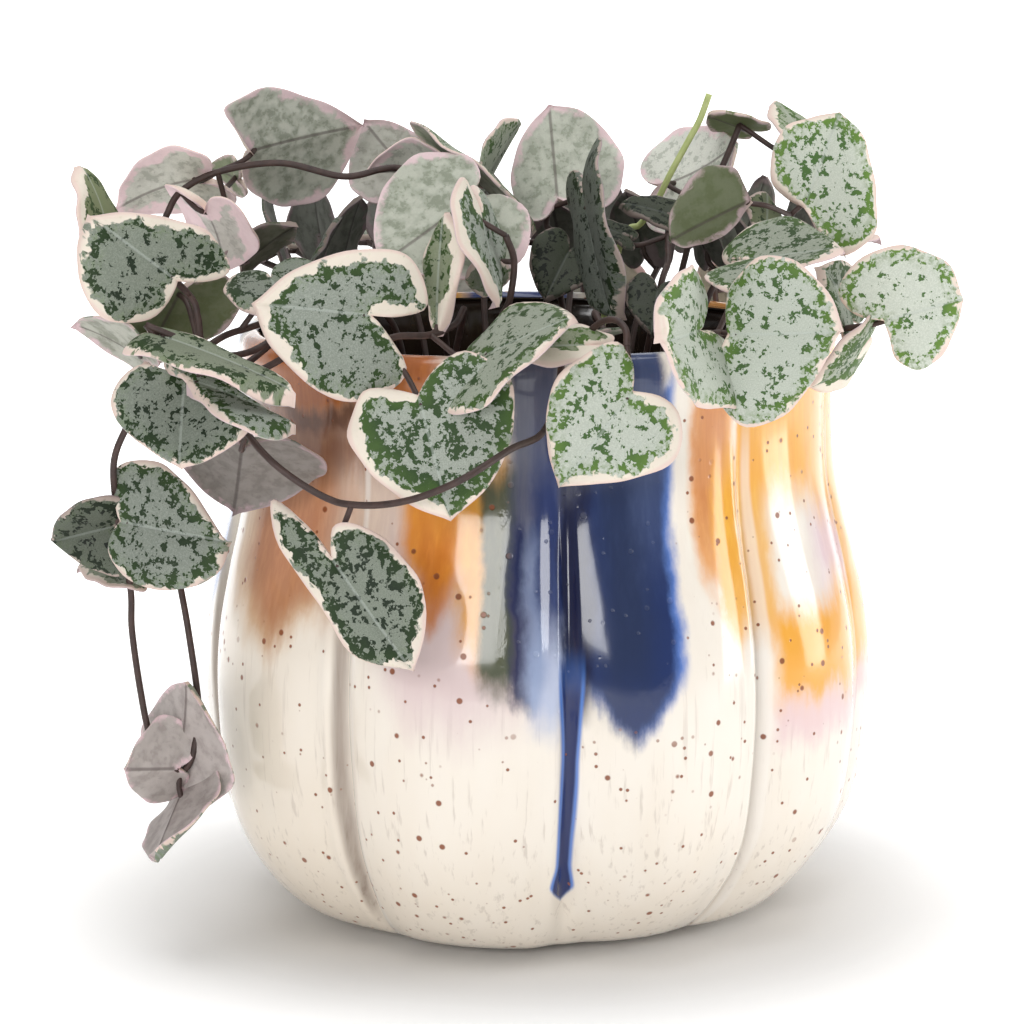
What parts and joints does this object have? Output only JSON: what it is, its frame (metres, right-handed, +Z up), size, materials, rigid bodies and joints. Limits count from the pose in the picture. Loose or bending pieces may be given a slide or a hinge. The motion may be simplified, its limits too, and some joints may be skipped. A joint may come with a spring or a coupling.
{
  "type": "potted string of hearts plant",
  "caption": "String of hearts with trailing stems and variegated heart-shaped leaves, growing in a lobed clay pot with a dripped blue and ochre glaze",
  "frame": {"origin": "centre of the pot's flat foot, on the surface it stands on", "axes": "+Z up, along the pot's axis; -Y the front, with the blue drip; +X to the right seen from the front"},
  "size_m": [0.1214, 0.1231, 0.1169],
  "materials": {
    "glazed_clay": "glossy glaze, cream with iron specks, dripped blue and ochre",
    "potting_soil": "loose, dark and dull",
    "leaf": "waxy satin, silver-green with dark mottling and cream margins"
  },
  "bodies": {
    "root": {"pot": "glazed_clay", "soil": "potting_soil", "top_vine": "leaf", "left_front": "leaf", "left_mid": "leaf", "left_long": "leaf", "left_hang": "leaf", "front_vine": "leaf", "front_left": "leaf", "mid_front": "leaf", "centre_front": "leaf", "right_front": "leaf", "right_far": "leaf", "right_top": "leaf", "top_right": "leaf", "top_centre": "leaf", "mid_left": "leaf", "inner_right": "leaf", "shoot": "leaf", "back_1": "leaf", "back_2": "leaf", "back_3": "leaf", "back_4": "leaf", "back_5": "leaf", "back_6": "leaf", "back_7": "leaf", "back_8": "leaf"}
  },
  "joints": []
}
